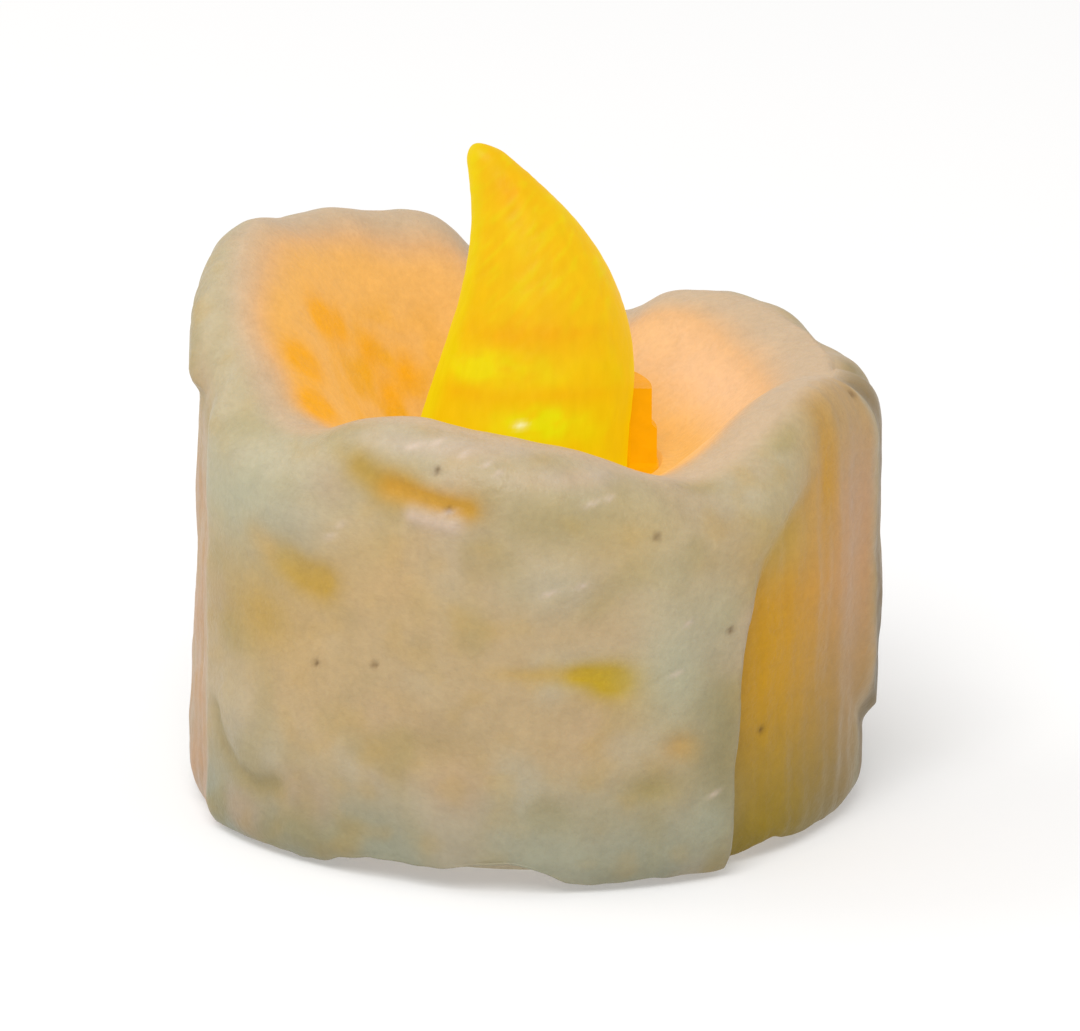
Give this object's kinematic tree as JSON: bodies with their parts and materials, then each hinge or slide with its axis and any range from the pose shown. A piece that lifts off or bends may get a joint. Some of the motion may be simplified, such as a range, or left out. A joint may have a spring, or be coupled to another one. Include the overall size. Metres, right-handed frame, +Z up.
{
  "type": "flameless led candle",
  "caption": "Short dripped-wax candle with an amber plastic flame lit by an LED, over a plastic core that holds the electronics, coin cell, slide switch and battery door.",
  "frame": {"origin": "centre of the plastic core's foot, on the surface the candle stands on", "axes": "+Z up; -Y is the front, where the rim dips lowest; +X is the right-hand side, seen from the front"},
  "size_m": [0.0399, 0.0402, 0.038],
  "materials": {
    "wax": "dripped wax, waxy sheen, slightly translucent, warm where it is thin",
    "flame": "frosted translucent amber, lit from inside",
    "collar": "translucent orange",
    "led": "clear tinted epoxy",
    "tinned": "tinned",
    "white_plastic": "matt",
    "core_plastic": "fine moulded grain",
    "board": "solder mask, semi-gloss",
    "black_plastic": "matt",
    "ceramic": "matt",
    "steel": "nickel plated sheet",
    "phenolic": "pressed laminate",
    "cell_steel": "lightly brushed",
    "gasket": "smooth",
    "screw_steel": "zinc plated"
  },
  "bodies": {
    "candle": {"wax_shell": "wax", "flame_cap": "flame", "flame_collar": "collar", "led_lens": "led", "led_leads": "tinned", "led_spacer": "white_plastic", "core_housing": "core_plastic", "circuit_board": "board", "timer_chip": "black_plastic", "crystal_can": "tinned", "chip_parts": "ceramic", "switch_frame": "steel", "switch_base": "phenolic", "switch_pins": "tinned", "negative_contact": "tinned", "positive_contact": "tinned", "cell_can": "cell_steel", "cell_gasket": "gasket", "cell_cap": "cell_steel", "base_plate": "core_plastic", "base_screws": "screw_steel"},
    "battery_door": {"battery_door": "core_plastic"},
    "keeper": {"screw_keeper": "gasket"},
    "door_screw": {"door_screw": "screw_steel"},
    "switch_knob": {"switch_knob": "black_plastic"}
  },
  "joints": [
    {"name": "door_hinge", "type": "hinge", "parent": "candle", "child": "battery_door", "pos_m": [-0.0026, -0.0122, 0.0011], "axis": [-1, 0, 0], "range_deg": [0, 100]},
    {"name": "screw_lift", "type": "slide", "parent": "battery_door", "child": "keeper", "axis": [0, 0, -1], "range_m": [0, 0.0025]},
    {"name": "screw_turn", "type": "hinge", "parent": "keeper", "child": "door_screw", "pos_m": [-0.0026, 0.0117, 0.00036], "axis": [0, 0, -1], "range_deg": [0, 1800]},
    {"name": "switch_slide", "type": "slide", "parent": "candle", "child": "switch_knob", "axis": [0, 1, 0], "range_m": [0, 0.002]}
  ],
  "couplings": [
    {"joint": "screw_turn", "follows": "screw_lift", "rad_per_m": 12566}
  ]
}
